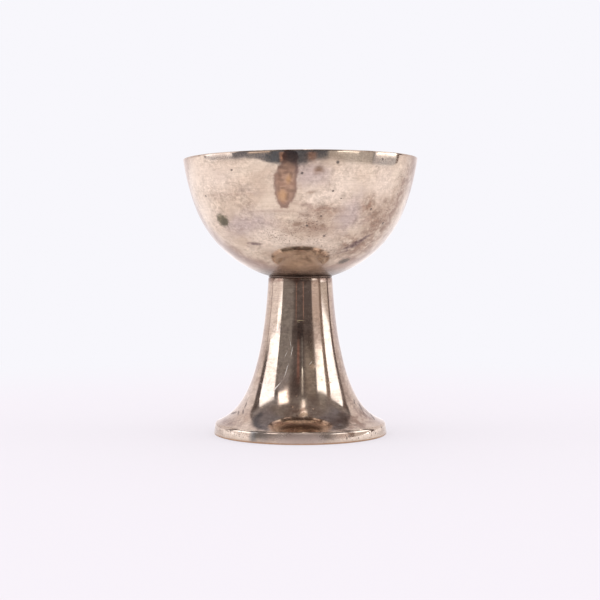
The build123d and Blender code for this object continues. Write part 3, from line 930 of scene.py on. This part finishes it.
nutShape = {
    "sleeveWall": 0.3 * mm, "sleeveInset": 0.02 * mm,
    "cornerAngle": 25, "cornerFrom": 5 * mm, "cornerRound": 0.1 * mm, "shadeAngle": 40,
}
washerShape = {
    "clearance": 0.08 * mm, "round": 0.16 * mm, "spinSteps": 160, "rippleSize": 1.6 * mm,
    "rippleDepth": 0.02 * mm,
}


def makeLeather():
    material, tree, shader = newMaterial("leather")
    points = surfacePlace(tree)["points"]
    creases = addNode(tree, "ShaderNodeTexVoronoi", {"Vector": points, "Scale": 2.6},
                      feature="DISTANCE_TO_EDGE").outputs["Distance"]
    wide = clouds(tree, points, 2.5, 4, 0.6, shift=leatherLook["seed"])
    colour = mixColour(tree, remap(tree, wide, 0.35, 0.65), leatherLook["light"], leatherLook["dark"])
    colour = mixColour(tree, remap(tree, creases, 0.0, 0.08, 0.6, 0.0), colour, leatherLook["crease"])
    rough = remap(tree, wide, 0.3, 0.7, *leatherLook["rough"])
    joinShader(tree, shader, colour, rough, 0.0, remap(tree, creases, 0.0, 0.12), leatherLook["bumpDepth"])
    return material


def threadGroove(point):
    # A right-hand thread: 0 on its crest, 1 at the bottom of its groove
    turns = point.z / threadShape["pitch"] - atan2(point.y, point.x) / tau
    fromCrest = abs((turns + 0.5) % 1 - 0.5) * 2
    return min(max((fromCrest - threadShape["crest"]) / threadShape["flank"], 0), 1)


def cutRows(bm, top, bottom, height):
    # Divides the side that the thread is cut in
    side = [edge for edge in top.link_edges if bottom in edge.verts]
    rows = int(height / threadShape["pitch"] * threadShape["rowsPerTurn"])
    bmesh.ops.subdivide_edges(bm, edges=side, cuts=rows)


def moveToRadius(vert, radius):
    reach = vert.co.xy.length
    vert.co.x *= radius / reach
    vert.co.y *= radius / reach


def makeStud():
    low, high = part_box("cup_stud")
    radius = (high.x - low.x) / 2
    bm = bmesh.new()
    start = bm.verts.new((0, 0, low.z))
    bottom = lineTo(bm, start, radius, low.z)
    top = lineTo(bm, bottom, radius, high.z)
    lineTo(bm, top, 0, high.z)
    cutRows(bm, top, bottom, high.z - low.z)
    spinRound(bm, threadShape["spinSteps"])
    for vert in bm.verts:
        if vert.co.xy.length < radius * 0.5:
            continue
        fromShank = high.z - studShape["shank"] - vert.co.z
        groove = threadShape["depth"] * threadGroove(vert.co)
        groove *= min(max(fromShank / threadShape["runOut"], 0), 1)
        tip = studShape["point"] - min(vert.co.z - low.z, studShape["point"])
        moveToRadius(vert, radius - max(groove, tip))
    return finishPiece(bm, "cupStud", "cup", [makeDull("studBrass", brassLook)], "brass", "cup_stud")


def makeNutThread(material):
    # The nut's own thread, a sleeve inside its hole
    low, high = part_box("neck_nut")
    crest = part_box("cup_stud")[1].x + threadShape["clearance"]
    outside = crest + nutShape["sleeveWall"]
    foot, head = low.z + nutShape["sleeveInset"], high.z - nutShape["sleeveInset"]
    bm = bmesh.new()
    bottom = bm.verts.new((crest, 0, foot))
    top = lineTo(bm, bottom, crest, head)
    outerTop = lineTo(bm, top, outside, head)
    outerBottom = lineTo(bm, outerTop, outside, foot)
    bm.edges.new((outerBottom, bottom))
    cutRows(bm, top, bottom, high.z - low.z)
    spinRound(bm, threadShape["spinSteps"])
    for vert in bm.verts:
        if vert.co.xy.length < (crest + outside) / 2:
            fromEnd = min(vert.co.z - low.z, high.z - vert.co.z)
            ridge = threadShape["depth"] * threadGroove(vert.co) * min(fromEnd / threadShape["endRunOut"], 1)
            moveToRadius(vert, crest - ridge)
    return finishPiece(bm, "nutThread", "foot", [material], "brass")


def isOuterCorner(edge):
    if len(edge.link_faces) != 2 or edge.verts[0].co.xy.length <= nutShape["cornerFrom"]:
        return False
    return edge.calc_face_angle() > radians(nutShape["cornerAngle"])


def makeNut(material):
    bm = bmesh.new()
    bm.from_mesh(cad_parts["neck_nut"].data)
    bmesh.ops.remove_doubles(bm, verts=bm.verts, dist=0.002 * mm)
    bmesh.ops.dissolve_limit(bm, angle_limit=radians(1), verts=bm.verts, edges=bm.edges)
    corners = [edge for edge in bm.edges if isOuterCorner(edge)]
    bmesh.ops.bevel(bm, geom=corners, offset=nutShape["cornerRound"], offset_type="OFFSET", segments=2,
                    profile=0.5, affect="EDGES", material=-1, clamp_overlap=True)
    nut = finishPiece(bm, "neckNut", "foot", [material], "brass", "neck_nut")
    nut.data.set_sharp_from_angle(angle=radians(nutShape["shadeAngle"]))
    return nut


def makeWasher():
    low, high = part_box("neck_washer")
    outside = (high.x - low.x) / 2
    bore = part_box("cup_stud")[1].x + washerShape["clearance"]
    bm = bmesh.new()
    corners = [bm.verts.new((bore, 0, low.z))]
    for x, z in ((outside, low.z), (outside, high.z), (bore, high.z)):
        corners.append(lineTo(bm, corners[-1], x, z))
    bm.edges.new((corners[-1], corners[0]))
    for corner in corners:
        roundCorner(bm, corner, washerShape["round"], 3)
    spinRound(bm, washerShape["spinSteps"])
    ripple(bm, washerShape["rippleSize"], washerShape["rippleDepth"], 5)
    for vert in bm.verts:
        vert.co.z = min(max(vert.co.z, low.z), high.z)  # the leather is pressed flat
    return finishPiece(bm, "neckWasher", "washer", [makeLeather()], "leather", "neck_washer")


def makeScrewJoint():
    brass = makeDull("neckBrass", dict(brassLook, seed=71))
    makeStud()
    makeNut(brass)
    makeNutThread(brass)
    makeWasher()
    for node in ("neck_plate", "cup_boss"):
        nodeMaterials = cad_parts[node].data.materials
        nodeMaterials.clear()
        nodeMaterials.append(brass)


makeScrewJoint()

print("all pieces made")
